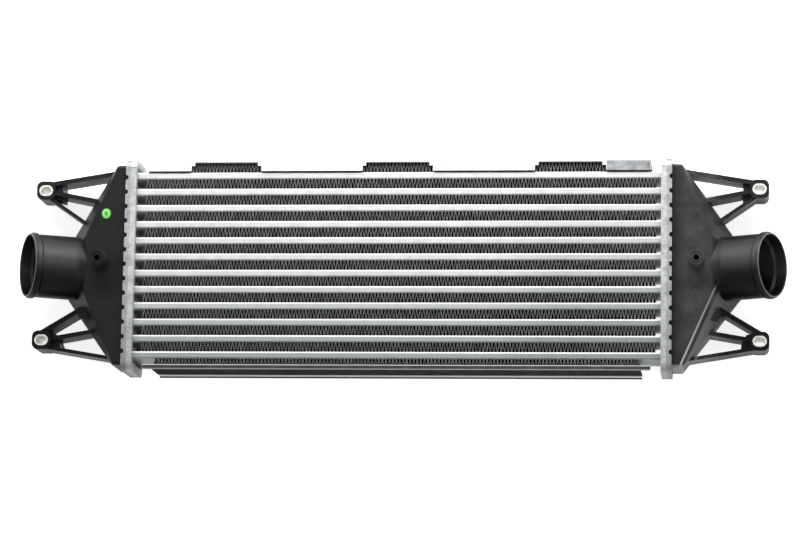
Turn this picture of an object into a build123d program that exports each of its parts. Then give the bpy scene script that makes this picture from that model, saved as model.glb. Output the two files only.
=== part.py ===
from build123d import *
from math import atan2, cos, degrees, hypot, radians, sin, tan
import os

# Charge-air cooler, lying on its back: X along the core, Y from the lower side
# plate to the upper one, Z from the back (the floor) to the front air face.
# Millimetres. The origin is under the middle of the whole object's outline.

# ---- driving dimensions -------------------------------------------------
TUBE_COUNT = 12
TUBE_PITCH = 16.54
TUBE_HEIGHT = 7.0
TUBE_WALL = 0.9
TUBE_NOSE = 1.2
TUBE_NOSE_WALL = 1.6
CORE_DEPTH = 50.0
CORE_HALF_LENGTH = 263.5

HEADER_DEPTH = 66.0
HEADER_HALF_HEIGHT = 107.5
HEADER_CORNER = 9.0
CORNER_CUT = 0.62
HEADER_SHEET = 1.4
HEADER_HEIGHT = 10.7
SHOULDER_WIDTH = 4.6
SHOULDER_STEP = 0.5
TROUGH_WIDTH = 5.0
SHEET_RISE = 4.4
SLOT_ROOM = 0.05
NOTCH_PITCH = 14.7
NOTCH_COUNT = 13
NOTCH_END_COUNT = 3
NOTCH_WIDTH = 6.2
NOTCH_FLOOR = 3.4
NOTCH_DEPTH = 2.6
TAB_FOLD = 3.4

GASKET_THICKNESS = 2.2
FIT_GAP = 0.15

FOOT_HEIGHT = 5.2
TANK_WALL = 2.8
TANK_HALF_HEIGHT = 101.5
TANK_FRONT = 61.5
TANK_BACK = 4.4
TANK_TOP_CORNER_X = 284.3
FACE_TOP_CORNER = (284.0, 98.0)
FACE_NECK_CORNER = (315.0, 27.5)
BACK_NECK_HALF = 24.0
TANK_EDGE = 3.0

NECK_TILT = 27.0
NECK_RADIUS = 32.0
NECK_BORE = 29.0
NECK_LENGTH = 50.0
NECK_AXIS_Z = 34.5
NECK_SINK = 12.0
BORE_SINK = 6.0
BEAD_RADIUS = 33.5
BEAD_START = 41.5
BEAD_END = 47.0
BEAD_SLOPE = 2.2
MOUTH_RADIUS = 31.7
MOUTH_BORE = 30.7
MOUTH_DEPTH = 11.0
MOUTH_TAPER = 2.5

BOSS_AT = (298.4, 4.0)
BOSS_TIP_Z = 80.5
BOSS_RADIUS = 7.4
BOSS_GROOVE = (4.8, 6.0)
BOSS_GROOVE_DEPTH = 0.9
BOSS_HOLE_RADIUS = 3.0
BOSS_HOLE_DEPTH = 19.0

EYE_X = 360.6
EYE_UPPER_Y = 79.6
EYE_LOWER_Y = -73.6
EYE_SIZE = 19.0
EYE_CORNER = 6.0
EYE_FRONT = 40.75
EYE_BACK = 7.75
SLEEVE_LENGTH = 14.0
SLEEVE_WIDTH = 11.0
SLEEVE_WALL = 1.7
RIB_FRONT = 38.5
RIB_BACK = 9.0
WEB_FRONT = 35.0
WEB_BACK = 10.0
ROOT_FRONT = 46.0

FIN_THICKNESS = 0.6
FIN_WAVES = 12
FIN_HALF_LENGTH = 257.0
FIN_INSET = 0.8
TURBULATOR_THICKNESS = 0.5
TURBULATOR_WAVES = 3

PLATE_THICKNESS = 1.6
PLATE_LIP = 2.0
PLATE_FLANGE_HALF = 253.5
UPPER_FLANGE = 8.5
LOWER_FLANGE = 3.1
LOWER_WEB_HALF = 244.0
LOWER_LIP = 1.8
WINDOW_CENTRES = (-173.0, 0.2, 173.2)
WINDOW_WIDTH = 71.0
WINDOW_STEP = 3.6

BRACKET_WIDTH = 64.0
BRACKET_RISE = 17.5
BRACKET_THICKNESS = 1.8
BRACKET_FOOT = 14.0

# ---- worked out from them -----------------------------------------------
MID_DEPTH = HEADER_DEPTH / 2
CORE_BACK = MID_DEPTH - CORE_DEPTH / 2
CORE_FRONT = MID_DEPTH + CORE_DEPTH / 2
ROW_GAP = TUBE_PITCH - TUBE_HEIGHT
STACK_HALF = (TUBE_COUNT - 1) / 2 * TUBE_PITCH + TUBE_HEIGHT / 2
PLATE_INNER = STACK_HALF + ROW_GAP
TROUGH_OUTER = CORE_HALF_LENGTH + HEADER_SHEET
SHEET_OUTER = TROUGH_OUTER + SHEET_RISE
FOOT_BASE = TROUGH_OUTER + GASKET_THICKNESS
FOOT_TOP = FOOT_BASE + FOOT_HEIGHT
HEADER_OUTER = CORE_HALF_LENGTH + HEADER_HEIGHT
LIP_BASE = HEADER_OUTER - HEADER_SHEET
TUBE_HALF_LENGTH = SHEET_OUTER + 3.0
TROUGH_INSET = HEADER_SHEET + TROUGH_WIDTH
BRACKET_TOP = PLATE_INNER + PLATE_THICKNESS + BRACKET_RISE
CENTRE_Y = -(BRACKET_TOP - HEADER_HALF_HEIGHT) / 2


def end_wall_x(z):
    """The tank's sloping end wall, square to the hose neck."""
    return FACE_NECK_CORNER[0] + (TANK_FRONT - z) * tan(radians(NECK_TILT))


NECK_ROOT = Vector(end_wall_x(NECK_AXIS_Z), 0, NECK_AXIS_Z)
NECK_DIRECTION = Vector(cos(radians(NECK_TILT)), 0, sin(radians(NECK_TILT)))
NECK_PLANE = Plane(origin=NECK_ROOT, x_dir=(0, 1, 0), z_dir=NECK_DIRECTION)


def block(x_range, y_range, z_range):
    """A box given by its limits on each axis."""
    size = [high - low for low, high in (x_range, y_range, z_range)]
    middle = [(high + low) / 2 for low, high in (x_range, y_range, z_range)]
    return Pos(*middle) * Box(*size)


def header_prism(x_low, x_high):
    """A block along X with the header's rounded outline."""
    plane = Plane(origin=(x_low, 0, MID_DEPTH), x_dir=(0, 1, 0), z_dir=(1, 0, 0))
    outline = RectangleRounded(2 * HEADER_HALF_HEIGHT, HEADER_DEPTH, HEADER_CORNER)
    return extrude(plane * outline, amount=x_high - x_low)


def trough_prism(inset, x_low, x_high):
    """A block along X, drawn in from the header's outline, with its corners cut straight."""
    plane = Plane(origin=(x_low, 0, MID_DEPTH), x_dir=(0, 1, 0), z_dir=(1, 0, 0))
    outline = Rectangle(2 * (HEADER_HALF_HEIGHT - inset), HEADER_DEPTH - 2 * inset)
    cut = max(HEADER_CORNER - inset, 1.5) * CORNER_CUT
    return extrude(plane * chamfer(outline.vertices(), cut), amount=x_high - x_low)


# ---- core ---------------------------------------------------------------
def tube_y(index):
    return ((TUBE_COUNT - 1) / 2 - index) * TUBE_PITCH


def tube_outline(room):
    """A tube's section with its noses cut to a blunt wedge, or a slot with room around it."""
    outline = Rectangle(CORE_DEPTH + 2 * room, TUBE_HEIGHT + 2 * room)
    return chamfer(outline.vertices(), TUBE_NOSE)


def tube(index):
    """A flat tube, open at both ends inside the tanks."""
    plane = Plane(origin=(-TUBE_HALF_LENGTH, tube_y(index), MID_DEPTH), x_dir=(0, 0, 1), z_dir=(1, 0, 0))
    section = tube_outline(0)
    section -= Rectangle(CORE_DEPTH - 2 * TUBE_NOSE_WALL, TUBE_HEIGHT - 2 * TUBE_WALL)
    return extrude(plane * section, amount=2 * TUBE_HALF_LENGTH)


def zigzag(half_length, half_height, thickness, waves):
    """A corrugated strip's outline: straight legs between two flat faces."""
    step = half_length / waves
    leg = hypot(step, 2 * half_height)
    half_band = thickness / 2 * leg / step
    reach = half_height - half_band
    upper = []
    lower = []
    for corner in range(2 * waves + 1):
        x = -half_length + corner * step
        height = reach if corner % 2 else -reach
        upper.append((x, height + half_band))
        lower.append((x, height - half_band))
    return make_face(Polyline(*upper, *reversed(lower), close=True))


def fin(index):
    """A corrugated air fin between two tubes; the outermost two end with their side plates."""
    middle_y = tube_y(index) + TUBE_PITCH / 2
    half_length = {0: PLATE_FLANGE_HALF, TUBE_COUNT: LOWER_WEB_HALF}.get(index, FIN_HALF_LENGTH)
    outline = zigzag(half_length, ROW_GAP / 2, FIN_THICKNESS, FIN_WAVES)
    depth = CORE_DEPTH - 2 * FIN_INSET
    return extrude(Pos(0, middle_y, CORE_BACK + FIN_INSET) * outline, amount=depth)


def turbulator(index):
    """The corrugated inner fin that slides into a tube."""
    half_width = CORE_DEPTH / 2 - TUBE_NOSE_WALL - FIT_GAP
    half_height = TUBE_HEIGHT / 2 - TUBE_WALL
    plane = Plane(origin=(-CORE_HALF_LENGTH, tube_y(index), MID_DEPTH), x_dir=(0, 0, 1), z_dir=(1, 0, 0))
    outline = zigzag(half_width, half_height, TURBULATOR_THICKNESS, TURBULATOR_WAVES)
    return extrude(plane * outline, amount=2 * CORE_HALF_LENGTH)


# ---- headers and gaskets ------------------------------------------------
def notch_outline():
    """A gap between two crimp tabs, narrower at its floor, drawn from the header's rim inwards."""
    rim = HEADER_OUTER + 1
    floor = HEADER_OUTER - NOTCH_DEPTH
    return Polyline(
        (rim, -NOTCH_WIDTH / 2),
        (rim, NOTCH_WIDTH / 2),
        (floor, NOTCH_FLOOR / 2),
        (floor, -NOTCH_FLOOR / 2),
        close=True,
    )


def tab_notches():
    """The gaps between the crimp tabs, along the front and back walls and the ends."""
    depth = TAB_FOLD + 0.2 + 1
    outline = make_face(notch_outline())
    upright = make_face(Rot(90, 0, 0) * notch_outline())
    notches = []
    for number in range(NOTCH_COUNT):
        y = (number - (NOTCH_COUNT - 1) / 2) * NOTCH_PITCH
        notches.append(extrude(Pos(0, y, -1) * outline, amount=depth, dir=(0, 0, 1)))
        notches.append(extrude(Pos(0, y, HEADER_DEPTH + 1) * outline, amount=depth, dir=(0, 0, -1)))
    for number in range(NOTCH_END_COUNT):
        z = MID_DEPTH + (number - (NOTCH_END_COUNT - 1) / 2) * NOTCH_PITCH
        notches.append(extrude(Pos(0, -HEADER_HALF_HEIGHT - 1, z) * upright, amount=depth, dir=(0, 1, 0)))
        notches.append(extrude(Pos(0, HEADER_HALF_HEIGHT + 1, z) * upright, amount=depth, dir=(0, -1, 0)))
    return notches


def tube_slots():
    """Cutters for the tube sheet: one slot a tube, drawn just outside it."""
    plane = Plane(origin=(CORE_HALF_LENGTH, 0, MID_DEPTH), x_dir=(0, 0, 1), z_dir=(1, 0, 0))
    slots = [Pos(0, tube_y(index)) * tube_outline(SLOT_ROOM) for index in range(TUBE_COUNT)]
    return extrude(plane * Sketch(children=slots), amount=20)


def shoulder_step(z):
    """The shallow step that sets the shoulder back from the tabbed rim on one long face."""
    x_range = (CORE_HALF_LENGTH - 1, CORE_HALF_LENGTH + SHOULDER_WIDTH)
    reach = HEADER_HALF_HEIGHT - HEADER_CORNER
    return block(x_range, (-reach, reach), (z - SHOULDER_STEP, z + SHOULDER_STEP))


def header():
    """The right header plate: shoulder, outer wall with folded tabs, trough and raised tube sheet."""
    tray = header_prism(CORE_HALF_LENGTH, HEADER_OUTER)
    tray -= shoulder_step(0)
    tray -= shoulder_step(HEADER_DEPTH)
    tray -= trough_prism(HEADER_SHEET, TROUGH_OUTER, LIP_BASE)
    tray -= trough_prism(TAB_FOLD, LIP_BASE - 1, HEADER_OUTER + 1)
    tray += trough_prism(TROUGH_INSET, CORE_HALF_LENGTH, SHEET_OUTER)
    tray -= trough_prism(TROUGH_INSET + HEADER_SHEET, CORE_HALF_LENGTH - 1, SHEET_OUTER - HEADER_SHEET)
    tray -= tube_slots()
    tray -= tab_notches()
    return tray


def gasket():
    """A flat rubber ring in the trough."""
    ring = trough_prism(HEADER_SHEET + FIT_GAP, TROUGH_OUTER, FOOT_BASE)
    return ring - trough_prism(TROUGH_INSET - FIT_GAP, TROUGH_OUTER - 1, FOOT_BASE + 1)


# ---- tanks --------------------------------------------------------------
def front_outline(inset):
    """The tank's outline seen from the front, from the foot, which stays open, to the neck."""
    upper = [
        (FOOT_BASE - inset, TANK_HALF_HEIGHT),
        (TANK_TOP_CORNER_X, TANK_HALF_HEIGHT),
        (end_wall_x(TANK_BACK), BACK_NECK_HALF),
    ]
    lower = [(x, -y) for x, y in reversed(upper)]
    return drawn_in(make_face(Polyline(*upper, *lower, close=True)), inset)


def depth_section(inset):
    """The tank's section in the XZ plane: flat front and back, sloping end wall."""
    corners = [
        (FOOT_BASE - inset, TANK_BACK),
        (end_wall_x(TANK_BACK), TANK_BACK),
        (end_wall_x(TANK_FRONT), TANK_FRONT),
        (FOOT_BASE - inset, TANK_FRONT),
    ]
    return drawn_in(make_face(Polyline(*corners, close=True)), inset)


def drawn_in(outline, inset):
    return outline if inset == 0 else offset(outline, amount=-inset, kind=Kind.INTERSECTION)


def slope_cut(side, inset):
    """What lies outside the sloping facet between the front face's edge and the neck."""
    first = Vector(FACE_TOP_CORNER[0], side * FACE_TOP_CORNER[1], TANK_FRONT)
    second = Vector(FACE_NECK_CORNER[0], side * FACE_NECK_CORNER[1], TANK_FRONT)
    third = Vector(end_wall_x(TANK_BACK), side * BACK_NECK_HALF, TANK_BACK)
    along = (second - first).normalized()
    normal = along.cross(third - second).normalized()
    if normal.X < 0:
        normal = normal * -1
    plane = Plane(origin=second - normal * inset, x_dir=along, z_dir=normal)
    return extrude(plane * Rectangle(400, 400), amount=120)


def tank_form(inset):
    """The tank's faceted body, or its hollow when drawn in by the wall."""
    prism = extrude(front_outline(inset), amount=HEADER_DEPTH)
    section = extrude(Plane.XZ * depth_section(inset), amount=HEADER_HALF_HEIGHT, both=True)
    form = prism & section
    form -= slope_cut(1, inset)
    form -= slope_cut(-1, inset)
    return form


def softened(form):
    """The tank's body with its moulded edges rounded, apart from those at the foot and the back."""
    beyond_foot = form.edges().filter_by(lambda edge: edge.bounding_box().max.X > FOOT_BASE + 0.1)
    outer_edges = beyond_foot.filter_by(lambda edge: edge.center().Z > TANK_BACK + 0.5)
    return fillet(outer_edges, TANK_EDGE)


def turned(*profile):
    """A solid turned about the Z axis from its half section, given as radius and height."""
    return revolve(Plane.XZ * make_face(Polyline(*profile, close=True)), axis=Axis.Z)


def neck():
    """The round hose neck with the bead at its mouth, rooted in the tank and kept off its back."""
    spigot = NECK_PLANE.location * turned(
        (0, -NECK_SINK),
        (NECK_RADIUS, -NECK_SINK),
        (NECK_RADIUS, BEAD_START),
        (BEAD_RADIUS, BEAD_START + BEAD_SLOPE),
        (BEAD_RADIUS, BEAD_END),
        (MOUTH_RADIUS, NECK_LENGTH),
        (0, NECK_LENGTH),
    )
    under_back = block((FOOT_BASE, HEADER_OUTER + 200), (-60, 60), (-60, TANK_BACK + 0.3))
    return spigot - under_back


def neck_bore():
    """The air way through the neck, wider at the mouth than behind it."""
    taper_end = NECK_LENGTH - MOUTH_DEPTH
    return NECK_PLANE.location * turned(
        (0, -BORE_SINK),
        (NECK_BORE, -BORE_SINK),
        (NECK_BORE, taper_end - MOUTH_TAPER),
        (MOUTH_BORE, taper_end),
        (MOUTH_BORE, NECK_LENGTH + 1),
        (0, NECK_LENGTH + 1),
    )


def rib(start, end, thickness):
    """A deep flat rib with round ends between two points of the front view."""
    run = (end[0] - start[0], end[1] - start[1])
    middle = ((start[0] + end[0]) / 2, (start[1] + end[1]) / 2)
    bar = Pos(*middle) * Rot(0, 0, degrees(atan2(run[1], run[0]))) * SlotCenterToCenter(hypot(*run), thickness)
    return extrude(Pos(0, 0, RIB_BACK) * bar, amount=RIB_FRONT - RIB_BACK)


def eye_block(y):
    outline = RectangleRounded(EYE_SIZE, EYE_SIZE, EYE_CORNER)
    return extrude(Pos(EYE_X, y, EYE_BACK) * outline, amount=EYE_FRONT - EYE_BACK)


def eye_slot(y, inset):
    """The oval hole through an eye, or the sleeve's slot when drawn in."""
    length = SLEEVE_LENGTH - 2 * inset
    width = SLEEVE_WIDTH - 2 * inset
    outline = SlotOverall(length, width)
    return extrude(Pos(EYE_X, y, EYE_BACK - 1) * outline, amount=EYE_FRONT - EYE_BACK + 2)


def panel(corners, back, front):
    """A flat-sided web with the given corners in the front view."""
    return extrude(Pos(0, 0, back) * make_face(Polyline(*corners, close=True)), amount=front - back)


def upper_ear():
    """The upper eye, the three ribs that spread from it to the tank, and the web at their fork."""
    y = EYE_UPPER_Y
    fork = [(EYE_X - 4, y + 8), (344.4, y + 7.6), (344.0, y - 10), (EYE_X - 4, y - 7)]
    return [
        eye_block(y),
        rib((EYE_X - 4, y + 6.6), (276, 99.5), 4.6),
        rib((EYE_X - 5, y - 1.4), (299, 67), 4.4),
        rib((EYE_X - 1, y - 5.6), (312, 41.3), 3.6),
        panel(fork, WEB_BACK, WEB_FRONT),
    ]


def lower_ear():
    """The lower eye with its three ribs, the web at their fork and a block at the inner rib's root."""
    y = EYE_LOWER_Y
    fork = [(EYE_X - 4, y + 8.4), (347.5, y + 7.2), (342.5, y - 2.6), (342, y - 7.4), (EYE_X - 4, y - 8)]
    root = [(309, -36.5), (314.5, -38.6), (324.2, -45.0), (321, -52.6), (309, -54)]
    return [
        eye_block(y),
        rib((EYE_X + 3, y + 6.2), (310, -35), 4.8),
        rib((EYE_X - 5, y + 0.8), (299, -63), 4.4),
        rib((EYE_X - 3, y - 6.8), (285, -92.5), 3.6),
        panel(fork, WEB_BACK, WEB_FRONT),
        panel(root, RIB_BACK + 2, ROOT_FRONT),
    ]


def boss():
    """A stub on the tank's front with a groove in its tip, around the hole's collar."""
    height = BOSS_TIP_Z - TANK_FRONT + 1
    inner, outer = BOSS_GROOVE
    stub = turned(
        (0, 0),
        (BOSS_RADIUS, 0),
        (BOSS_RADIUS, height),
        (outer, height),
        (outer, height - BOSS_GROOVE_DEPTH),
        (inner, height - BOSS_GROOVE_DEPTH),
        (inner, height),
        (0, height),
    )
    return Pos(*BOSS_AT, TANK_FRONT - 1) * stub


def tank():
    """The right tank, one moulding: foot, shell, neck, boss and ears."""
    shell = trough_prism(HEADER_SHEET + FIT_GAP, FOOT_BASE, FOOT_TOP)
    shell += softened(tank_form(0))
    shell += neck()
    shell += boss()
    shell += upper_ear()
    shell += lower_ear()
    shell -= tank_form(TANK_WALL)
    shell -= trough_prism(TROUGH_INSET - FIT_GAP, FOOT_BASE - 1, SHEET_OUTER + 0.5)
    shell -= neck_bore()
    shell -= Pos(*BOSS_AT, BOSS_TIP_Z - BOSS_HOLE_DEPTH / 2 + 0.5) * Cylinder(BOSS_HOLE_RADIUS, BOSS_HOLE_DEPTH + 1)
    shell -= eye_slot(EYE_UPPER_Y, 0)
    shell -= eye_slot(EYE_LOWER_Y, 0)
    return shell


def sleeve(y):
    """The oval metal sleeve pressed into an eye."""
    outline = SlotOverall(SLEEVE_LENGTH, SLEEVE_WIDTH)
    body = extrude(Pos(EYE_X, y, EYE_BACK) * outline, amount=EYE_FRONT - EYE_BACK)
    return body - eye_slot(y, SLEEVE_WALL)


# ---- side plates and bracket --------------------------------------------
def side_plate(flange, web_half):
    """A channel above the core: a web on the outer fins and a flange down each face."""
    web_y = (PLATE_INNER, PLATE_INNER + PLATE_THICKNESS)
    front = CORE_FRONT + PLATE_LIP
    back = CORE_BACK - PLATE_LIP
    plate = block((-web_half, web_half), web_y, (back, front))
    flange_y = (PLATE_INNER - flange, PLATE_INNER + PLATE_THICKNESS)
    front_range = (-PLATE_FLANGE_HALF, PLATE_FLANGE_HALF)
    plate += block(front_range, flange_y, (front - PLATE_THICKNESS, front))
    plate += block((-web_half, web_half), flange_y, (back, back + PLATE_THICKNESS))
    return plate


def window(middle):
    """A window in the front flange, narrower above its step."""
    front = CORE_FRONT + PLATE_LIP
    z_range = (front - PLATE_THICKNESS - 0.5, front + 1)
    half = WINDOW_WIDTH / 2
    step_y = PLATE_INNER - 3.2
    low = block((middle - half, middle + half), (PLATE_INNER - UPPER_FLANGE - 1, step_y), z_range)
    inner = half - WINDOW_STEP
    high = block((middle - inner, middle + inner), (step_y - 1, PLATE_INNER + 0.2), z_range)
    return low + high


def top_side_plate():
    plate = side_plate(UPPER_FLANGE, PLATE_FLANGE_HALF)
    for middle in WINDOW_CENTRES:
        plate -= window(middle)
    return plate


def bottom_side_plate():
    """The lower channel, with a short lip turned out along its back edge."""
    plate = side_plate(LOWER_FLANGE, LOWER_WEB_HALF)
    outer_y = PLATE_INNER + PLATE_THICKNESS
    back = CORE_BACK - PLATE_LIP
    x_range = (-LOWER_WEB_HALF, LOWER_WEB_HALF)
    plate += block(x_range, (outer_y - 0.5, outer_y + LOWER_LIP), (back, back + PLATE_THICKNESS))
    return mirror(plate, about=Plane.XZ)


def top_bracket():
    """An angle on the upper side plate: a foot and an upright tab with a slot."""
    base_y = PLATE_INNER + PLATE_THICKNESS
    half = BRACKET_WIDTH / 2
    front = CORE_FRONT - 6
    foot = block((-half, half), (base_y, base_y + BRACKET_THICKNESS), (front - BRACKET_FOOT, front))
    tab = block((-half, half), (base_y, BRACKET_TOP), (front - BRACKET_THICKNESS, front))
    slot_plane = Plane(origin=(4, base_y + BRACKET_RISE * 0.55, front + 1), z_dir=(0, 0, -1), x_dir=(1, 0, 0))
    slot = extrude(slot_plane * SlotOverall(14, 6.5), amount=10)
    return foot + tab - slot


# ---- write every node ---------------------------------------------------
def handed(right_piece):
    """A right-hand piece and its left-hand mirror image."""
    return right_piece, mirror(right_piece, about=Plane.YZ)


def build_nodes():
    nodes = {}
    for name, piece in (("tank", tank()), ("header", header()), ("gasket", gasket())):
        nodes["right_" + name], nodes["left_" + name] = handed(piece)
    for name, y in (("upper_sleeve", EYE_UPPER_Y), ("lower_sleeve", EYE_LOWER_Y)):
        nodes["right_" + name], nodes["left_" + name] = handed(sleeve(y))
    for index in range(TUBE_COUNT):
        nodes[f"tube_{index + 1:02d}"] = tube(index)
        nodes[f"turbulator_{index + 1:02d}"] = turbulator(index)
    for index in range(TUBE_COUNT + 1):
        nodes[f"fin_{index + 1:02d}"] = fin(index)
    nodes["top_side_plate"] = top_side_plate()
    nodes["bottom_side_plate"] = bottom_side_plate()
    nodes["top_bracket"] = top_bracket()
    return nodes


os.makedirs("parts", exist_ok=True)
for node, shape in build_nodes().items():
    export_step(Pos(0, CENTRE_Y, 0) * shape, f"parts/{node}.step")
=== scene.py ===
import math
import random

import bpy
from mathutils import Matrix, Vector


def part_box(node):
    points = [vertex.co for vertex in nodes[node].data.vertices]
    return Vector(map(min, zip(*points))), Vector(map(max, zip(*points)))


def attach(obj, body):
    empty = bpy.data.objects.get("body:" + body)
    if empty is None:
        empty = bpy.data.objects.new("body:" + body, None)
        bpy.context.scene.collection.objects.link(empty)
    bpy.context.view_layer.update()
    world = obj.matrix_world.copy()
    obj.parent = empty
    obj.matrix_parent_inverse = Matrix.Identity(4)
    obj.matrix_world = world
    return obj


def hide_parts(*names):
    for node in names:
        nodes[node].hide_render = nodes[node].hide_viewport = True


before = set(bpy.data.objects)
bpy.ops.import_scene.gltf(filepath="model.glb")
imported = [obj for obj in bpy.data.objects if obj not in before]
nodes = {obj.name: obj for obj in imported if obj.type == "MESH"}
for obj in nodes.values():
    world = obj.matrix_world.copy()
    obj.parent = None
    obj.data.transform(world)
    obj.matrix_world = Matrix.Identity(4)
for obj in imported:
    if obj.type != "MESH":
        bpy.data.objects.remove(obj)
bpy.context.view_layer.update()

# ---- sizes, in metres, worked out from the frame ------------------------
TUBE_NAMES = sorted(name for name in nodes if name.startswith("tube_"))
FIN_NAMES = sorted(name for name in nodes if name.startswith("fin_"))
SIDES = {"left": -1, "right": 1}

TUBE_LOW, TUBE_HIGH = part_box(TUBE_NAMES[0])
LAST_TUBE_LOW, LAST_TUBE_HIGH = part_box(TUBE_NAMES[-1])
TUBE_PITCH = (TUBE_LOW.y - LAST_TUBE_LOW.y) / (len(TUBE_NAMES) - 1)
CORE_BACK = TUBE_LOW.z
CORE_FRONT = TUBE_HIGH.z
CORE_MIDDLE = (CORE_BACK + CORE_FRONT) / 2

# ---- sizes of the fins, in metres ---------------------------------------
FIN_PITCH = 0.00347
FIN_SHEET = 0.00032
FIN_INSET = 0.0009
FIN_END_GAP = 0.0018
FIN_WANDER = 0.00022
FIN_LEAN = 0.00030

# ---- sizes of the moulded and painted details ---------------------------
NECK_TILT = math.radians(27.0)
NECK_MOUTH_X = 0.37331
NECK_MOUTH_Z = 0.05720
NECK_ROOT_X = 0.318

BOSS_PLACE = (0.2984, -0.0038)
BOSS_RADIUS = 0.0074
RING_SECTION = 0.0007
RING_COUNT = 4
RING_PITCH = 0.0038
RING_FIRST_Z = 0.0655

DOT_CENTRE = (-0.2938, 0.0440)
DOT_RADIUS = 0.0058
DOT_RISE = 0.0005

# ---- where the finishes, painted light and painted shade change, in metres ---
FIN_LIT_EDGE = 0.0007
LIT_RIDGE = 0.0015
CRIMP_BAND = 0.0055
CRIMP_FADE = 0.0008
RIM_WIDTH = 0.0009
STAIN_X = (0.2100, 0.2520)
FLANK_SHEEN_X = (0.289, 0.310)
TUBE_GREYING_X = (0.10, 0.16)

NECK_FADE = 0.006
NECK_SHEEN_Y = (-0.010, 0.008)
NECK_SHADE_Y = (-0.008, -0.024)

CREASE_NORMAL = (0.9155, -0.4026, 0.0)
CREASE_REACH = 0.3026
CREASE_START_Y = (-0.026, -0.032)
CREASE_HIGHLIGHT_Y = (-0.028, -0.090)
CREASE_START_Z = (0.052, 0.056)
FLANK_NORMAL = (0.837, -0.368, 0.404)
FLANK_REACH = 0.3015
FLANK_START_Y = (-0.030, -0.036)
FLANK_REFLECTION_Y = (-0.036, -0.060)
LOWER_END_Y = (-0.1070, -0.1085)

PLATE_CUT_EDGE = (0.0007, 0.0003)
PLATE_FOLD_Y = (0.0018, 0.0026)
PLATE_FOLD_Z = (0.0012, 0.0006)
PLATE_REAR_Z = (0.014, 0.006)
PLATE_REAR_Y = (0.0013, 0.0016)
TOP_FOLD_Y = (0.0020, 0.0014)
TOP_WEB_Z = (0.0008, 0.0012)

# ---- colours and strengths ----------------------------------------------
MOULDING_SPECULAR = 0.12
TANK_BODY = (0.006, 0.0065, 0.0075)
TANK_WEAR_AND_SHEEN = (0.046, 0.048, 0.051)
NECK_UNDERSIDE_SHADE = (0.001, 0.001, 0.001)
RIM_GREY = (0.12, 0.12, 0.12)
TANK_HIGHLIGHT_GREY = (0.50, 0.50, 0.50)
RUBBER_BODY = (0.012, 0.012, 0.012)
RUBBER_PALE = (0.03, 0.03, 0.03)
BRACKET_LIGHT = (0.62, 0.62, 0.625)
BRACKET_DARK = (0.50, 0.505, 0.51)
SLEEVE_LIGHT = (0.88, 0.88, 0.85)
SLEEVE_DARK = (0.44, 0.42, 0.37)
TUBE_DARK = (0.36, 0.365, 0.37)
TUBE_LIGHT = (0.58, 0.585, 0.59)
TUBE_GREY_AND_SHADE = (0.215, 0.235, 0.235)
TUBE_RIDGE_HIGHLIGHT = (0.66, 0.66, 0.66)
HEADER_DARK = (0.18, 0.19, 0.195)
HEADER_LIGHT = (0.54, 0.545, 0.55)
HEADER_GREY_AND_SHADE = (0.14, 0.145, 0.14)
LOWER_PLATE_SHADE_DARK = (0.045, 0.045, 0.045)
LOWER_PLATE_SHADE_LIGHT = (0.075, 0.075, 0.075)
LOWER_PLATE_HIGHLIGHT = (0.85, 0.85, 0.85)
UPPER_PLATE_DARK = (0.66, 0.665, 0.67)
UPPER_PLATE_LIGHT = (0.82, 0.825, 0.83)
UPPER_PLATE_WEB_SHADE = (0.30, 0.305, 0.31)
STAIN_DARK = (0.13, 0.135, 0.14)
STAIN_LIGHT = (0.33, 0.34, 0.35)
FOIL_PAINTED_SHADE = (0.003, 0.003, 0.003)
FOIL_DARK = (0.13, 0.13, 0.13)
FOIL_LIGHT = (0.28, 0.28, 0.28)
PAINT_BODY = (0.065, 0.36, 0.040)
PAINT_THIN = (0.36, 0.72, 0.30)
PAINT_THICK = (0.014, 0.065, 0.008)

ROOM_LIGHT = 0.33
FLOOR_GLOW = 0.82
CAMERA_PLACE = (0.35062, -0.57425, 3.41149)
CAMERA_TURN = (9.60901, 5.73969, 0.96551)
CAMERA_LENS = 154.33


# ---- helpers ------------------------------------------------------------
def clear_selection():
    if bpy.context.object and bpy.context.object.mode != "OBJECT":
        bpy.ops.object.mode_set(mode="OBJECT")
    bpy.ops.object.select_all(action="DESELECT")


def make_active(piece):
    clear_selection()
    piece.select_set(True)
    bpy.context.view_layer.objects.active = piece


def named(name):
    """Names the primitive that was just added, and its mesh."""
    piece = bpy.context.object
    piece.name = name
    piece.data.name = name
    return piece


def settle(piece):
    """Puts a piece's place, turn and scale into its mesh."""
    make_active(piece)
    bpy.ops.object.transform_apply(location=True, rotation=True, scale=True)


def apply_modifier(piece, kind, **settings):
    make_active(piece)
    modifier = piece.modifiers.new(kind.title(), kind)
    for key, value in settings.items():
        setattr(modifier, key, value)
    bpy.ops.object.modifier_apply(modifier=modifier.name)


def dress(piece, material):
    piece.data.materials.clear()
    piece.data.materials.append(material)
    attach(piece, "root")
    return piece


def face_outwards(piece):
    make_active(piece)
    bpy.ops.object.mode_set(mode="EDIT")
    bpy.ops.mesh.select_all(action="SELECT")
    bpy.ops.mesh.remove_doubles(threshold=0.00001)
    bpy.ops.mesh.normals_make_consistent(inside=False)
    bpy.ops.object.mode_set(mode="OBJECT")


# ---- shared effects, as node groups -------------------------------------
def new_group(name, inputs, outputs):
    group = bpy.data.node_groups.new(name, "ShaderNodeTree")
    for label, kind, value in inputs:
        socket = group.interface.new_socket(label, in_out="INPUT", socket_type=kind)
        if value is not None:
            socket.default_value = value
    for label, kind in outputs:
        group.interface.new_socket(label, in_out="OUTPUT", socket_type=kind)
    entry = group.nodes.new("NodeGroupInput")
    result = group.nodes.new("NodeGroupOutput")
    return group, entry, result


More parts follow.
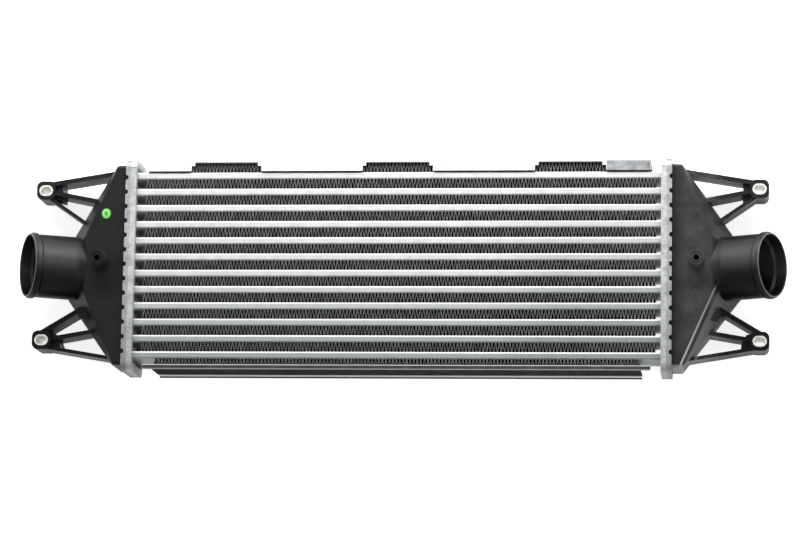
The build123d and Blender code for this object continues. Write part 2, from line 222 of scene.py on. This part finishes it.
def noise(tree, vector, scale, detail=3.0, roughness=0.5):
    node = tree.nodes.new("ShaderNodeTexNoise")
    node.inputs["Detail"].default_value = detail
    node.inputs["Roughness"].default_value = roughness
    if hasattr(scale, "is_linked"):
        tree.links.new(scale, node.inputs["Scale"])
    else:
        node.inputs["Scale"].default_value = scale
    tree.links.new(vector, node.inputs["Vector"])
    return node.outputs["Fac"]


def ranged(tree, value, low, high, to_low=0.0, to_high=1.0):
    node = tree.nodes.new("ShaderNodeMapRange")
    tree.links.new(value, node.inputs["Value"])
    for label, bound in (("From Min", low), ("From Max", high), ("To Min", to_low), ("To Max", to_high)):
        node.inputs[label].default_value = bound
    return node.outputs["Result"]


def blend_colour(tree, factor, first, second):
    node = tree.nodes.new("ShaderNodeMix")
    node.data_type = "RGBA"
    if hasattr(factor, "is_linked"):
        tree.links.new(factor, node.inputs["Factor"])
    else:
        node.inputs["Factor"].default_value = factor
    for label, colour in (("A", first), ("B", second)):
        socket = [s for s in node.inputs if s.name == label and s.type == "RGBA"][0]
        if hasattr(colour, "is_linked"):
            tree.links.new(colour, socket)
        else:
            socket.default_value = (*colour, 1.0)
    return [s for s in node.outputs if s.type == "RGBA"][0]


def mathed(tree, operation, first, second):
    node = tree.nodes.new("ShaderNodeMath")
    node.operation = operation
    for index, value in enumerate((first, second)):
        if hasattr(value, "is_linked"):
            tree.links.new(value, node.inputs[index])
        else:
            node.inputs[index].default_value = value
    return node.outputs[0]


def separated(tree, place):
    """The X, Y and Z of each point, by their letters."""
    node = tree.nodes.new("ShaderNodeSeparateXYZ")
    tree.links.new(place, node.inputs["Vector"])
    return node.outputs


def within(tree, value, low, high, softness):
    """A mask that is 1 between two bounds and fades to 0 over a short way outside them."""
    rising = ranged(tree, value, low - softness, low)
    falling = ranged(tree, value, high, high + softness, 1.0, 0.0)
    return mathed(tree, "MULTIPLY", rising, falling)


def build_blotch_group():
    """Soft blotches and fine specks on bare metal: two masks from 0 to 1."""
    group, entry, result = new_group(
        "blotch_and_speck",
        [
            ("Vector", "NodeSocketVector", None),
            ("Blotch Scale", "NodeSocketFloat", 60.0),
            ("Speck Scale", "NodeSocketFloat", 900.0),
        ],
        [("Blotch", "NodeSocketFloat"), ("Speck", "NodeSocketFloat")],
    )
    blotch = noise(group, entry.outputs["Vector"], entry.outputs["Blotch Scale"], 4.0, 0.6)
    speck = noise(group, entry.outputs["Vector"], entry.outputs["Speck Scale"], 2.0, 0.7)
    group.links.new(ranged(group, blotch, 0.35, 0.68), result.inputs["Blotch"])
    group.links.new(ranged(group, speck, 0.30, 0.72), result.inputs["Speck"])
    return group


def build_moulding_group():
    """The skin of a moulding: slow flow marks, a fine grain and drier-looking scuffs."""
    group, entry, result = new_group(
        "moulding_skin",
        [
            ("Vector", "NodeSocketVector", None),
            ("Grain Scale", "NodeSocketFloat", 1400.0),
            ("Flow Scale", "NodeSocketFloat", 28.0),
        ],
        [("Flow", "NodeSocketFloat"), ("Grain", "NodeSocketFloat"), ("Scuff", "NodeSocketFloat")],
    )
    flow = noise(group, entry.outputs["Vector"], entry.outputs["Flow Scale"], 5.0, 0.6)
    grain = noise(group, entry.outputs["Vector"], entry.outputs["Grain Scale"], 2.0, 0.6)
    stretch = group.nodes.new("ShaderNodeMapping")
    stretch.inputs["Scale"].default_value = (1.0, 6.0, 1.0)
    group.links.new(entry.outputs["Vector"], stretch.inputs["Vector"])
    scuff = noise(group, stretch.outputs["Vector"], 90.0, 6.0, 0.75)
    group.links.new(ranged(group, flow, 0.35, 0.65), result.inputs["Flow"])
    group.links.new(grain, result.inputs["Grain"])
    group.links.new(ranged(group, scuff, 0.60, 0.74), result.inputs["Scuff"])
    return group


BLOTCHES = build_blotch_group()
MOULDING = build_moulding_group()


def new_material(name):
    material = bpy.data.materials.new(name)
    material.use_nodes = True
    tree = material.node_tree
    shader = tree.nodes["Principled BSDF"]
    place = tree.nodes.new("ShaderNodeTexCoord").outputs["Object"]
    return material, tree, shader, place


def placed_group(tree, group, place, **values):
    node = tree.nodes.new("ShaderNodeGroup")
    node.node_tree = group
    tree.links.new(place, node.inputs["Vector"])
    for label, value in values.items():
        node.inputs[label.replace("_", " ")].default_value = value
    return node


def add_bump(tree, shader, height, strength, distance):
    node = tree.nodes.new("ShaderNodeBump")
    node.inputs["Strength"].default_value = strength
    node.inputs["Distance"].default_value = distance
    tree.links.new(height, node.inputs["Height"])
    tree.links.new(node.outputs["Normal"], shader.inputs["Normal"])


def mottled(tree, place, blotch_scale, blotch_share):
    """The blotches and specks of uncoated metal, and the mask that mixes them in the given share."""
    marks = placed_group(tree, BLOTCHES, place, Blotch_Scale=blotch_scale)
    patches = mathed(tree, "MULTIPLY", marks.outputs["Blotch"], blotch_share)
    specks = mathed(tree, "MULTIPLY", marks.outputs["Speck"], 1.0 - blotch_share)
    return marks, mathed(tree, "ADD", patches, specks)


def bare_aluminium(name, light, dark, metallic, rough, blotch_scale=60.0):
    """Satin sheet with soft blotches of flux and a fine speck."""
    material, tree, shader, place = new_material(name)
    marks, mask = mottled(tree, place, blotch_scale, 0.55)
    tree.links.new(blend_colour(tree, mask, dark, light), shader.inputs["Base Color"])
    tree.links.new(ranged(tree, mask, 0.0, 1.0, rough + 0.10, rough - 0.06), shader.inputs["Roughness"])
    shader.inputs["Metallic"].default_value = metallic
    add_bump(tree, shader, marks.outputs["Speck"], 0.25, 0.0002)
    return material


def mouth_rim(tree, place):
    """A mask for the rim of either hose neck: how far a point lies along the necks' slanted axes."""
    axes = separated(tree, place)
    outward = mathed(tree, "SUBTRACT", mathed(tree, "ABSOLUTE", axes["X"], 0.0), NECK_MOUTH_X)
    upward = mathed(tree, "SUBTRACT", axes["Z"], NECK_MOUTH_Z)
    outward = mathed(tree, "MULTIPLY", outward, math.cos(NECK_TILT))
    upward = mathed(tree, "MULTIPLY", upward, math.sin(NECK_TILT))
    return ranged(tree, mathed(tree, "ADD", outward, upward), -RIM_WIDTH, -RIM_WIDTH / 3)


def sheen_and_shade_masks(tree, place):
    """Masks for the painted sheen on the right tank's flank and the necks' upper sides, and for the painted
    shade on the necks' undersides.
    """
    axes = separated(tree, place)
    outward = mathed(tree, "ABSOLUTE", axes["X"], 0.0)
    on_neck = ranged(tree, outward, NECK_ROOT_X, NECK_ROOT_X + NECK_FADE)
    # painted shade: the necks' lower halves are coloured near-black
    underside = mathed(tree, "MULTIPLY", on_neck, ranged(tree, axes["Y"], *NECK_SHADE_Y))
    # painted sheen: the necks' upper sides are coloured paler
    upper = mathed(tree, "MULTIPLY", on_neck, within(tree, axes["Y"], *NECK_SHEEN_Y, 0.010))
    streaks = ranged(tree, noise(tree, place, 45.0, 5.0, 0.65), 0.35, 0.62, 0.35, 0.95)
    # painted reflection: a streaky paler band across the right tank's flank
    flank = mathed(tree, "MULTIPLY", within(tree, axes["X"], *FLANK_SHEEN_X, 0.016), streaks)
    painted_sheen = mathed(tree, "MAXIMUM", flank, mathed(tree, "MULTIPLY", upper, 0.6))
    return painted_sheen, underside


def measured_along(tree, place, direction):
    """How far each point lies along a direction from the origin."""
    node = tree.nodes.new("ShaderNodeVectorMath")
    node.operation = "DOT_PRODUCT"
    node.inputs[1].default_value = direction
    tree.links.new(place, node.inputs[0])
    return node.outputs["Value"]


def crease_highlight_and_reflection(tree, place):
    """A mask for the painted highlight along the crease low on the right tank, and for the painted
    reflections on the facet beyond it and on its lower end.
    """
    axes = separated(tree, place)
    reach = measured_along(tree, place, CREASE_NORMAL)
    # painted highlight along the crease
    crease = within(tree, reach, CREASE_REACH - 0.0006, CREASE_REACH + 0.0004, 0.0006)
    crease = mathed(tree, "MULTIPLY", crease, ranged(tree, axes["Y"], *CREASE_HIGHLIGHT_Y, 0.35, 1.0))
    crease = mathed(tree, "MULTIPLY", crease, ranged(tree, axes["Y"], *CREASE_START_Y))
    crease = mathed(tree, "MULTIPLY", crease, ranged(tree, axes["Z"], *CREASE_START_Z))
    # painted reflection on the facet beyond the crease, stronger further down
    height = measured_along(tree, place, FLANK_NORMAL)
    flank = within(tree, height, FLANK_REACH - 0.0012, FLANK_REACH + 0.0005, 0.0003)
    beyond = ranged(tree, reach, CREASE_REACH + 0.0030, CREASE_REACH + 0.0045)
    flank = mathed(tree, "MULTIPLY", flank, beyond)
    flank = mathed(tree, "MULTIPLY", flank, ranged(tree, axes["Y"], *FLANK_REFLECTION_Y, 0.12, 0.32))
    flank = mathed(tree, "MULTIPLY", flank, ranged(tree, axes["Y"], *FLANK_START_Y))
    # painted reflection on the tank's lower end
    lower_end = mathed(tree, "MULTIPLY", ranged(tree, axes["Y"], *LOWER_END_Y), 0.45)
    lower_end = mathed(tree, "MULTIPLY", lower_end, ranged(tree, axes["X"], 0.0, 0.1))
    return mathed(tree, "MAXIMUM", mathed(tree, "MAXIMUM", crease, flank), lower_end)


def moulded_black(name, body, pale, rough, rim=None):
    """Black moulding with flow marks and scuffs; with a rim, also a grey mouth rim on the necks, painted
    sheen on the right flank and the necks' upper sides, painted shade on the necks' undersides, and a painted
    highlight and reflections low on the right tank.
    """
    material, tree, shader, place = new_material(name)
    skin = placed_group(tree, MOULDING, place)
    base = blend_colour(tree, skin.outputs["Flow"], body, tuple(channel * 1.5 for channel in body))
    worn = mathed(tree, "MULTIPLY", skin.outputs["Scuff"], 0.35)
    if rim is None:
        base = blend_colour(tree, worn, base, pale)
    else:
        painted_sheen, underside = sheen_and_shade_masks(tree, place)
        # scuffs are real wear; the other mask is painted sheen on the right flank and the necks' upper sides
        base = blend_colour(tree, mathed(tree, "MAXIMUM", worn, painted_sheen), base, pale)
        # painted shade: the necks' undersides turn near-black
        base = blend_colour(tree, underside, base, NECK_UNDERSIDE_SHADE)
        base = blend_colour(tree, mouth_rim(tree, place), base, rim)
        # painted highlight and reflections low on the right tank
        base = blend_colour(tree, crease_highlight_and_reflection(tree, place), base, TANK_HIGHLIGHT_GREY)
    tree.links.new(base, shader.inputs["Base Color"])
    roughness = ranged(tree, skin.outputs["Flow"], 0.0, 1.0, rough - 0.05, rough + 0.08)
    tree.links.new(roughness, shader.inputs["Roughness"])
    shader.inputs["Specular IOR Level"].default_value = MOULDING_SPECULAR
    add_bump(tree, shader, skin.outputs["Grain"], 0.30, 0.00012)
    return material


TANK_BLACK = moulded_black("tank_black", TANK_BODY, TANK_WEAR_AND_SHEEN, rough=0.44, rim=RIM_GREY)
RUBBER_BLACK = moulded_black("rubber_black", RUBBER_BODY, RUBBER_PALE, rough=0.75)
BRACKET_METAL = bare_aluminium("bracket_metal", BRACKET_LIGHT, BRACKET_DARK, metallic=0.40, rough=0.42)
SLEEVE_METAL = bare_aluminium(
    "sleeve_metal",
    SLEEVE_LIGHT,
    SLEEVE_DARK,
    metallic=0.70,
    rough=0.34,
    blotch_scale=330.0,
)


def tube_metal():
    """Satin tube: greyer at the right of the upper rows, darkened by painted shade in the lower rows, with a
    painted highlight along each upper edge.
    """
    material, tree, shader, place = new_material("tube_metal")
    marks, mask = mottled(tree, place, 60.0, 0.55)
    axes = separated(tree, place)
    plain_tone = blend_colour(tree, mask, TUBE_DARK, TUBE_LIGHT)
    middle_y = (TUBE_HIGH.y + LAST_TUBE_LOW.y) / 2
    # painted shade: the lower rows are coloured darker, as if lit from above
    lower = ranged(tree, axes["Y"], middle_y, LAST_TUBE_HIGH.y, 0.0, 0.85)
    right = ranged(tree, axes["X"], *TUBE_GREYING_X, 0.0, 0.40)
    right = mathed(tree, "MULTIPLY", right, ranged(tree, axes["Y"], TUBE_LOW.y, middle_y))
    greyed = mathed(tree, "MINIMUM", mathed(tree, "ADD", lower, right), 1.0)
    body = blend_colour(tree, greyed, plain_tone, TUBE_GREY_AND_SHADE)
    above_last = mathed(tree, "SUBTRACT", axes["Y"], LAST_TUBE_LOW.y)
    rows_up = mathed(tree, "DIVIDE", above_last, TUBE_PITCH)
    within_row = mathed(tree, "FLOORED_MODULO", mathed(tree, "ADD", rows_up, 20.0), 1.0)
    ridge_top = (TUBE_HIGH.y - TUBE_LOW.y) / TUBE_PITCH
    ridge_low = ridge_top - LIT_RIDGE / TUBE_PITCH
    # painted highlight: a brighter band along each tube's upper edge, where the light catches
    ridge = within(tree, within_row, ridge_low, ridge_top + 0.02, 0.015)
    tree.links.new(blend_colour(tree, ridge, body, TUBE_RIDGE_HIGHLIGHT), shader.inputs["Base Color"])
    tree.links.new(ranged(tree, mask, 0.0, 1.0, 0.55, 0.39), shader.inputs["Roughness"])
    shader.inputs["Metallic"].default_value = 0.40
    add_bump(tree, shader, marks.outputs["Speck"], 0.25, 0.0002)
    return material


def header_metal():
    """Header sheet, mottled with flux: greyer on its crimp tabs, and darker low down with painted shade."""
    low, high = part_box("right_header")
    material, tree, shader, place = new_material("header_metal")
    marks, mask = mottled(tree, place, 130.0, 0.6)
    axes = separated(tree, place)
    plain_tone = blend_colour(tree, mask, HEADER_DARK, HEADER_LIGHT)
    outward = mathed(tree, "ABSOLUTE", axes["X"], 0.0)
    tabs_x = high.x - CRIMP_BAND
    tabs = ranged(tree, outward, tabs_x, tabs_x + CRIMP_FADE, 0.0, 0.45)
    # painted shade: darker towards the bottom, as if lit from above
    lower = ranged(tree, axes["Y"], (low.y + high.y) / 2, low.y, 0.0, 0.45)
    greyed = mathed(tree, "MINIMUM", mathed(tree, "ADD", tabs, mathed(tree, "MULTIPLY", lower, 0.6)), 1.0)
    tree.links.new(blend_colour(tree, greyed, plain_tone, HEADER_GREY_AND_SHADE), shader.inputs["Base Color"])
    tree.links.new(ranged(tree, mask, 0.0, 1.0, 0.58, 0.42), shader.inputs["Roughness"])
    shader.inputs["Metallic"].default_value = 0.40
    add_bump(tree, shader, marks.outputs["Speck"], 0.5, 0.0002)
    return material


TUBE_METAL = tube_metal()
HEADER_METAL = header_metal()


def shaded_plate(node):
    """The lower side plate: a matt sheet made dark with painted shade, with painted highlights along its cut
    edge, fold and rear strip.
    """
    low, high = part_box(node)
    material, tree, shader, place = new_material("shaded_plate")
    marks = placed_group(tree, BLOTCHES, place, Blotch_Scale=70.0)
    axes = separated(tree, place)
    across, depth = axes["Y"], axes["Z"]
    cut_edge = ranged(tree, across, *(high.y - edge for edge in PLATE_CUT_EDGE))
    cut_edge = mathed(tree, "MULTIPLY", cut_edge, 0.85)
    fold = within(tree, across, *(low.y + edge for edge in PLATE_FOLD_Y), 0.0004)
    front = ranged(tree, depth, *(high.z - edge for edge in PLATE_FOLD_Z))
    fold = mathed(tree, "MULTIPLY", mathed(tree, "MULTIPLY", fold, front), 0.25)
    rear = ranged(tree, depth, *(low.z + edge for edge in PLATE_REAR_Z))
    inner = ranged(tree, across, *(low.y + edge for edge in PLATE_REAR_Y))
    rear = mathed(tree, "MULTIPLY", rear, inner)
    # painted highlights on the cut edge, fold and rear strip; the rest of the sheet is coloured dark as
    # painted shade
    lit_strips = mathed(tree, "MAXIMUM", mathed(tree, "MAXIMUM", cut_edge, fold), rear)
    plate_shade = blend_colour(tree, marks.outputs["Blotch"], LOWER_PLATE_SHADE_DARK, LOWER_PLATE_SHADE_LIGHT)
    tree.links.new(blend_colour(tree, lit_strips, plate_shade, LOWER_PLATE_HIGHLIGHT), shader.inputs["Base Color"])
    tree.links.new(mathed(tree, "MULTIPLY", lit_strips, 0.5), shader.inputs["Metallic"])
    shader.inputs["Roughness"].default_value = 0.55
    shader.inputs["Specular IOR Level"].default_value = 0.0
    return material


def topped_plate(node):
    """The upper side plate: bright sheet with painted shade darkening its web and fold, stained grey near its
    right end.
    """
    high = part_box(node)[1]
    material, tree, shader, place = new_material("topped_plate")
    marks = placed_group(tree, BLOTCHES, place, Blotch_Scale=90.0)
    axes = separated(tree, place)
    stain = within(tree, axes["X"], *STAIN_X, 0.002)
    grey = blend_colour(tree, marks.outputs["Blotch"], STAIN_DARK, STAIN_LIGHT)
    plain_tone = blend_colour(tree, marks.outputs["Blotch"], UPPER_PLATE_DARK, UPPER_PLATE_LIGHT)
    stained = blend_colour(tree, stain, plain_tone, grey)
    # painted shade: the web and fold, which face the lamp above, are coloured darker than the front face
    fold = ranged(tree, axes["Y"], *(high.y - edge for edge in TOP_FOLD_Y), 0.0, 0.55)
    web = ranged(tree, axes["Z"], *(high.z - edge for edge in TOP_WEB_Z))
    web_and_fold_shade = mathed(tree, "MAXIMUM", fold, web)
    tree.links.new(blend_colour(tree, web_and_fold_shade, stained, UPPER_PLATE_WEB_SHADE), shader.inputs["Base Color"])
    shader.inputs["Roughness"].default_value = 0.42
    shader.inputs["Metallic"].default_value = 0.50
    add_bump(tree, shader, marks.outputs["Speck"], 0.2, 0.0002)
    return material


def fin_foil():
    """Rolled foil: bright along the cut edges of both faces, with painted shade making it near-black between
    them, deep in the core.
    """
    material, tree, shader, place = new_material("fin_foil")
    marks = placed_group(tree, BLOTCHES, place, Blotch_Scale=140.0)
    axes = separated(tree, place)
    reach = CORE_FRONT - CORE_MIDDLE - FIN_INSET
    from_middle = mathed(tree, "SUBTRACT", axes["Z"], CORE_MIDDLE)
    from_middle = mathed(tree, "ABSOLUTE", from_middle, 0.0)
    edge = ranged(tree, from_middle, reach - FIN_LIT_EDGE, reach - FIN_LIT_EDGE / 3)
    bright = blend_colour(tree, marks.outputs["Blotch"], FOIL_DARK, FOIL_LIGHT)
    # painted shade: away from its lit edges the foil is coloured near-black and kept non-metallic
    tree.links.new(blend_colour(tree, edge, FOIL_PAINTED_SHADE, bright), shader.inputs["Base Color"])
    tree.links.new(ranged(tree, marks.outputs["Speck"], 0.0, 1.0, 0.50, 0.62), shader.inputs["Roughness"])
    tree.links.new(ranged(tree, edge, 0.0, 1.0, 0.0, 0.6), shader.inputs["Metallic"])
    shader.inputs["Specular IOR Level"].default_value = 0.03
    return material


FIN_FOIL = fin_foil()


def painted_dot():
    """Inspection paint: thin in a ring around its middle and thick at its edge."""
    material, tree, shader, place = new_material("inspection_paint")
    centring = tree.nodes.new("ShaderNodeMapping")
    centring.inputs["Location"].default_value = (-DOT_CENTRE[0], -DOT_CENTRE[1], 0.0)
    tree.links.new(place, centring.inputs["Vector"])
    flat = tree.nodes.new("ShaderNodeVectorMath")
    flat.operation = "MULTIPLY"
    flat.inputs[1].default_value = (1.15, 1.0, 0.0)
    tree.links.new(centring.outputs["Vector"], flat.inputs[0])
    length = tree.nodes.new("ShaderNodeVectorMath")
    length.operation = "LENGTH"
    tree.links.new(flat.outputs["Vector"], length.inputs[0])
    radius = length.outputs["Value"]
    streaks = noise(tree, place, 700.0, 3.0, 0.6)
    thin_ring = within(tree, radius, DOT_RADIUS * 0.48, DOT_RADIUS * 0.70, DOT_RADIUS * 0.15)
    thin_ring = mathed(tree, "MULTIPLY", thin_ring, ranged(tree, streaks, 0.40, 0.54))
    inner = blend_colour(tree, thin_ring, PAINT_BODY, PAINT_THIN)
    thick_edge = ranged(tree, radius, DOT_RADIUS * 0.80, DOT_RADIUS * 0.95)
    tree.links.new(blend_colour(tree, thick_edge, inner, PAINT_THICK), shader.inputs["Base Color"])
    shader.inputs["Specular IOR Level"].default_value = 0.10
    tree.links.new(ranged(tree, streaks, 0.3, 0.7, 0.30, 0.45), shader.inputs["Roughness"])
    return material


DOT_PAINT = painted_dot()


# ---- fins ---------------------------------------------------------------
def fin_wave(low, high):
    """One wave of a fin as a sheet: two legs with rounded crests, seen from the front."""
    height = high.y - low.y - FIN_SHEET
    half = FIN_PITCH / 2
    bend = FIN_PITCH * 0.16
    bpy.ops.mesh.primitive_plane_add(size=1.0, location=(0.0, 0.0, 0.0))
    wave = named("fin_wave")
    turn_x, turn_y = bend * 0.4, height * 0.06
    corners = {
        (-0.5, -0.5): (0.0, 0.0, low.z),
        (0.5, -0.5): (turn_x, turn_y, low.z),
        (-0.5, 0.5): (0.0, 0.0, high.z),
        (0.5, 0.5): (turn_x, turn_y, high.z),
    }
    for vertex in wave.data.vertices:
        vertex.co = corners[(round(vertex.co.x, 1), round(vertex.co.y, 1))]
    leg_x, leg_y = half - 0.8 * bend, height * 0.88
    steps = [(leg_x, leg_y), (turn_x, turn_y), (turn_x, -turn_y), (leg_x, -leg_y), (turn_x, -turn_y)]
    make_active(wave)
    bpy.ops.object.mode_set(mode="EDIT")
    bpy.ops.mesh.select_all(action="DESELECT")
    bpy.ops.object.mode_set(mode="OBJECT")
    for vertex in wave.data.vertices:
        vertex.select = vertex.co.y > height * 0.03
    for edge in wave.data.edges:
        edge.select = all(wave.data.vertices[index].select for index in edge.vertices)
    bpy.ops.object.mode_set(mode="EDIT")
    for step_x, step_y in steps:
        bpy.ops.mesh.extrude_region_move(TRANSFORM_OT_translate={"value": (step_x, step_y, 0.0)})
    bpy.ops.object.mode_set(mode="OBJECT")
    return wave


def fin_row(low, high):
    """A whole fin of even waves, as a closed strip, starting at its low corner."""
    row = fin_wave(low, high)
    count = int((high.x - low.x) / FIN_PITCH)
    apply_modifier(
        row,
        "ARRAY",
        count=count,
        use_relative_offset=False,
        use_constant_offset=True,
        constant_offset_displace=(FIN_PITCH, 0.0, 0.0),
        use_merge_vertices=True,
        merge_threshold=0.00002,
    )
    apply_modifier(row, "SOLIDIFY", thickness=FIN_SHEET, offset=0.0, use_even_offset=True)
    face_outwards(row)
    return row


def build_fins():
    """Every fin with its fine waves, as long as its CAD node and set back a little behind the tubes."""
    chance = random.Random(7)
    for name in FIN_NAMES:
        low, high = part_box(name)
        low.z, high.z = CORE_BACK + FIN_INSET, CORE_FRONT - FIN_INSET
        row = fin_row(low, high)
        row.name = row.data.name = name.replace("fin_", "fine_fin_")
        outermost = name in (FIN_NAMES[0], FIN_NAMES[-1])
        end_gap = FIN_PITCH / 4 if outermost else FIN_END_GAP
        shift = low.x + end_gap + chance.uniform(0.0, 0.2) * FIN_PITCH
        phases = [chance.uniform(0.0, math.tau) for _ in range(3)]
        for vertex in row.data.vertices:
            along = vertex.co.x
            wander = math.sin(along * 41.0 + phases[0]) + 0.6 * math.sin(along * 113.0 + phases[1])
            lean = math.sin(along * 67.0 + phases[2]) * (vertex.co.y / (high.y - low.y) - 0.5)
            vertex.co.x = along + shift + FIN_WANDER * wander + FIN_LEAN * lean
            vertex.co.y += low.y + FIN_SHEET / 2
        dress(row, FIN_FOIL)
        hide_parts(name)


build_fins()


# ---- inspection dot -----------------------------------------------------
def tank_front_height(node, place):
    """The height of the tank's front face under a point, found by a ray from above."""
    tank = nodes[node]
    hit, point, _, _ = tank.ray_cast(Vector((*place, 1.0)), Vector((0.0, 0.0, -1.0)))
    return point.z if hit else CORE_FRONT


def build_dot():
    """A dab of paint on the left tank's front face."""
    front = tank_front_height("left_tank", DOT_CENTRE)
    bpy.ops.object.select_all(action="DESELECT")
    bpy.ops.mesh.primitive_cylinder_add(
        vertices=40,
        radius=DOT_RADIUS,
        depth=DOT_RISE,
        location=(*DOT_CENTRE, front + DOT_RISE * 0.35),
    )
    dot = named("inspection_dot")
    settle(dot)
    apply_modifier(dot, "BEVEL", width=DOT_RISE * 0.45, segments=2, limit_method="ANGLE")
    bpy.ops.object.shade_smooth_by_angle(angle=math.radians(35))
    dress(dot, DOT_PAINT)


build_dot()


# ---- rings around the bosses --------------------------------------------
def build_boss_rings():
    """Shallow moulded rings around each boss, one above the other."""
    for side, sign in SIDES.items():
        rings = []
        for number in range(RING_COUNT):
            clear_selection()
            place = (sign * BOSS_PLACE[0], BOSS_PLACE[1], RING_FIRST_Z + number * RING_PITCH)
            bpy.ops.mesh.primitive_torus_add(
                location=place,
                major_radius=BOSS_RADIUS,
                minor_radius=RING_SECTION,
                major_segments=48,
                minor_segments=10,
            )
            rings.append(named(side + "_boss_ring"))
        clear_selection()
        for ring in rings:
            ring.select_set(True)
        bpy.context.view_layer.objects.active = rings[0]
        bpy.ops.object.join()
        joined = bpy.context.object
        joined.name = joined.data.name = side + "_boss_rings"
        settle(joined)
        bpy.ops.object.shade_smooth()
        dress(joined, TANK_BLACK)


build_boss_rings()


# ---- finishes of the CAD nodes ------------------------------------------
def paint_node(name, material):
    mesh = nodes[name].data
    mesh.materials.clear()
    mesh.materials.append(material)


for side in SIDES:
    paint_node(side + "_tank", TANK_BLACK)
    paint_node(side + "_header", HEADER_METAL)
    paint_node(side + "_gasket", RUBBER_BLACK)
    paint_node(side + "_upper_sleeve", SLEEVE_METAL)
    paint_node(side + "_lower_sleeve", SLEEVE_METAL)
for name in nodes:
    if name.startswith("tube_") or name.startswith("turbulator_"):
        paint_node(name, TUBE_METAL)
paint_node("top_side_plate", topped_plate("top_side_plate"))
paint_node("bottom_side_plate", shaded_plate("bottom_side_plate"))
paint_node("top_bracket", BRACKET_METAL)


# ---- floor, light and camera --------------------------------------------
def seen_directly(tree):
    """1 where a surface is seen, also by reflection or through glass, and 0 for the light it sheds."""
    sight = tree.nodes.new("ShaderNodeLightPath")
    seen = mathed(tree, "MAXIMUM", sight.outputs["Is Camera Ray"], sight.outputs["Is Glossy Ray"])
    return mathed(tree, "MAXIMUM", seen, sight.outputs["Is Transmission Ray"])


def pale_floor():
    """Pale floor: white to the camera, and darker where the object shades it."""
    material = bpy.data.materials.new("pale_floor")
    material.use_nodes = True
    tree = material.node_tree
    tree.nodes.clear()
    output = tree.nodes.new("ShaderNodeOutputMaterial")
    seen = seen_directly(tree)
    diffuse = tree.nodes.new("ShaderNodeBsdfDiffuse")
    diffuse.inputs["Color"].default_value = (0.80, 0.80, 0.80, 1.0)
    glow = tree.nodes.new("ShaderNodeEmission")
    glow.inputs["Color"].default_value = (1.0, 1.0, 1.0, 1.0)
    strength = mathed(tree, "MULTIPLY", seen, FLOOR_GLOW)
    tree.links.new(strength, glow.inputs["Strength"])
    total = tree.nodes.new("ShaderNodeAddShader")
    tree.links.new(diffuse.outputs[0], total.inputs[0])
    tree.links.new(glow.outputs[0], total.inputs[1])
    tree.links.new(total.outputs[0], output.inputs["Surface"])
    return material


def build_floor():
    bpy.ops.object.select_all(action="DESELECT")
    bpy.ops.mesh.primitive_plane_add(size=14.0, location=(0.0, 0.0, -0.0006))
    floor = named("floor")
    settle(floor)
    floor.data.materials.append(pale_floor())


def build_world():
    world = bpy.data.worlds.new("pale_room")
    bpy.context.scene.world = world
    world.use_nodes = True
    tree = world.node_tree
    background = tree.nodes["Background"]
    background.inputs["Color"].default_value = (0.985, 0.992, 1.0, 1.0)
    seen = seen_directly(tree)
    strength = ranged(tree, seen, 0.0, 1.0, ROOM_LIGHT, 1.0)
    tree.links.new(strength, background.inputs["Strength"])


def area_light(name, place, target, size, power):
    data = bpy.data.lights.new(name, "AREA")
    data.shape = "RECTANGLE"
    data.size, data.size_y = size
    data.energy = power
    lamp = bpy.data.objects.new(name, data)
    bpy.context.scene.collection.objects.link(lamp)
    lamp.location = place
    aim = Vector(target) - Vector(place)
    lamp.rotation_euler = aim.to_track_quat("-Z", "Y").to_euler()
    return lamp


def build_lights():
    """A broad lamp above, a weak one low at the right, and one that only shows in glossy surfaces."""
    area_light("key_softbox", place=(0.0, 0.55, 0.42), target=(0.0, 0.02, 0.03), size=(1.3, 0.30), power=12.5)
    area_light("low_fill", place=(0.95, -0.75, 0.80), target=(0.15, 0.0, 0.03), size=(0.5, 0.3), power=3.5)
    sheen = area_light(
        "neck_sheen",
        place=(0.0, 0.80, 0.62),
        target=(0.0, 0.0, 0.05),
        size=(1.3, 0.22),
        power=14.0,
    )
    sheen.visible_diffuse = False


def build_camera():
    data = bpy.data.cameras.new("camera")
    data.lens = CAMERA_LENS
    data.sensor_fit = "HORIZONTAL"
    data.sensor_width = 36.0
    data.clip_end = 50.0
    camera = bpy.data.objects.new("camera", data)
    bpy.context.scene.collection.objects.link(camera)
    camera.location = CAMERA_PLACE
    camera.rotation_euler = [math.radians(angle) for angle in CAMERA_TURN]
    bpy.context.scene.camera = camera


build_floor()
build_world()
build_lights()
build_camera()
bpy.context.scene.view_settings.view_transform = "Standard"
